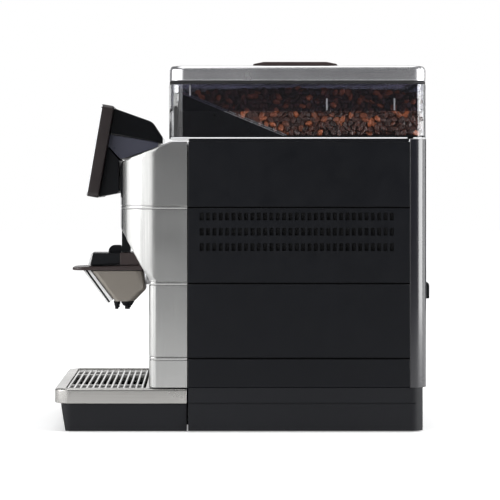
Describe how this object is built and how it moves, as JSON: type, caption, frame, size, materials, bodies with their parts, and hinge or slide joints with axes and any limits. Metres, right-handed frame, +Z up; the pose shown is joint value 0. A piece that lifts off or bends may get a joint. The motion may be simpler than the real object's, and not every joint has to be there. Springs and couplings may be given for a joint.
{
  "type": "espresso machine",
  "caption": "Fully automatic bean-to-cup espresso machine with bean hopper, swinging front door, tilted display, height-adjustable spout and sliding drip tray.",
  "frame": {"origin": "on the resting surface, under the middle of the whole machine", "axes": "-Y towards the front (spout and drip tray), +X towards the machine's right-hand side as seen in the side view, +Z up"},
  "size_m": [0.32, 0.5332, 0.529],
  "materials": {
    "black_plastic": "fine-grained satin",
    "grey_plastic": "satin",
    "gloss_black": "piano gloss",
    "screen_glass": "gloss",
    "brushed_silver": "brushed",
    "steel": "fine satin",
    "chrome": "polished",
    "taupe": "satin metallic lacquer",
    "brown_plastic": "satin",
    "clear_plastic": "transparent",
    "smoked_plastic": "smoked transparent",
    "roasted_beans": "oily roasted beans",
    "rubber": "matte",
    "brass": "turned",
    "white_plastic": "satin",
    "circuit_board": "satin"
  },
  "bodies": {
    "chassis": {"base_housing": "black_plastic", "foot_front_right": "rubber", "foot_front_left": "rubber", "foot_rear_right": "rubber", "foot_rear_left": "rubber", "side_panel_right": "black_plastic", "side_panel_left": "black_plastic", "rear_post_right": "black_plastic", "rear_post_left": "black_plastic", "rear_panel": "grey_plastic", "switch_housing": "black_plastic", "power_inlet": "taupe", "front_bulkhead": "grey_plastic", "deck_plate": "grey_plastic", "hopper_shell": "clear_plastic", "hopper_liner": "smoked_plastic", "hopper_rim": "rubber", "hopper_funnel": "black_plastic", "coffee_beans": "roasted_beans", "grinder_body": "white_plastic", "grinder_motor": "steel", "brew_unit_frame": "white_plastic", "grounds_container": "black_plastic", "boiler": "steel", "water_pump": "brass", "water_hose": "clear_plastic", "water_tank": "clear_plastic", "control_board": "circuit_board", "cooling_fan_frame": "black_plastic"},
    "lid": {"hopper_lid": "brushed_silver", "lid_handle": "brown_plastic"},
    "front_door": {"door_shell_right": "brushed_silver", "door_shell_left": "brushed_silver", "door_front_panel": "gloss_black", "door_splash_panel": "steel", "spout_rail": "steel", "door_inner_panel": "grey_plastic", "display_frame": "brown_plastic", "display_glass": "screen_glass", "display_hood": "gloss_black", "display_lower_cover": "black_plastic", "display_pivot_barrel": "grey_plastic"},
    "spout": {"spout_body": "taupe", "spout_finger_plate": "brown_plastic", "spout_top_housing": "black_plastic", "spout_rear_cover": "brown_plastic", "spout_carriage": "steel", "spout_front_trim": "chrome", "nozzle_front_right": "black_plastic", "nozzle_front_left": "black_plastic", "nozzle_rear_right": "black_plastic", "nozzle_rear_left": "black_plastic"},
    "drip_tray": {"tray_rim": "brushed_silver", "tray_pan": "black_plastic"},
    "grate": {"drip_grate": "steel"},
    "rocker": {"power_switch": "brown_plastic"},
    "burr": {"grinder_burr": "steel"},
    "piston": {"brew_piston": "brass"},
    "fan": {"cooling_fan_rotor": "black_plastic"}
  },
  "joints": [
    {"name": "door_hinge", "type": "hinge", "parent": "chassis", "child": "front_door", "pos_m": [-0.1585, -0.082, 0.235], "axis": [0, 0, -1], "range_deg": [0, 100]},
    {"name": "spout_height", "type": "slide", "parent": "front_door", "child": "spout", "axis": [0, 0, 1], "range_m": [-0.085, 0]},
    {"name": "tray_slide", "type": "slide", "parent": "chassis", "child": "drip_tray", "axis": [0, -1, 0], "range_m": [0, 0.19]},
    {"name": "grate_lift", "type": "slide", "parent": "drip_tray", "child": "grate", "axis": [0, 0, 1], "range_m": [0, 0.04]},
    {"name": "lid_lift", "type": "slide", "parent": "chassis", "child": "lid", "axis": [0, 0, 1], "range_m": [0, 0.12]},
    {"name": "power_rocker", "type": "hinge", "parent": "chassis", "child": "rocker", "pos_m": [0.095, 0.254, 0.197], "axis": [1, 0, 0], "range_deg": [-8, 8]},
    {"name": "burr_spin", "type": "hinge", "parent": "chassis", "child": "burr", "pos_m": [0.02, 0.11, 0.36], "axis": [0, 0, 1], "continuous": true},
    {"name": "piston_travel", "type": "slide", "parent": "chassis", "child": "piston", "axis": [0, 0, 1], "range_m": [-0.05, 0]},
    {"name": "fan_spin", "type": "hinge", "parent": "chassis", "child": "fan", "pos_m": [-0.07, 0.241, 0.25], "axis": [0, 1, 0], "continuous": true}
  ]
}
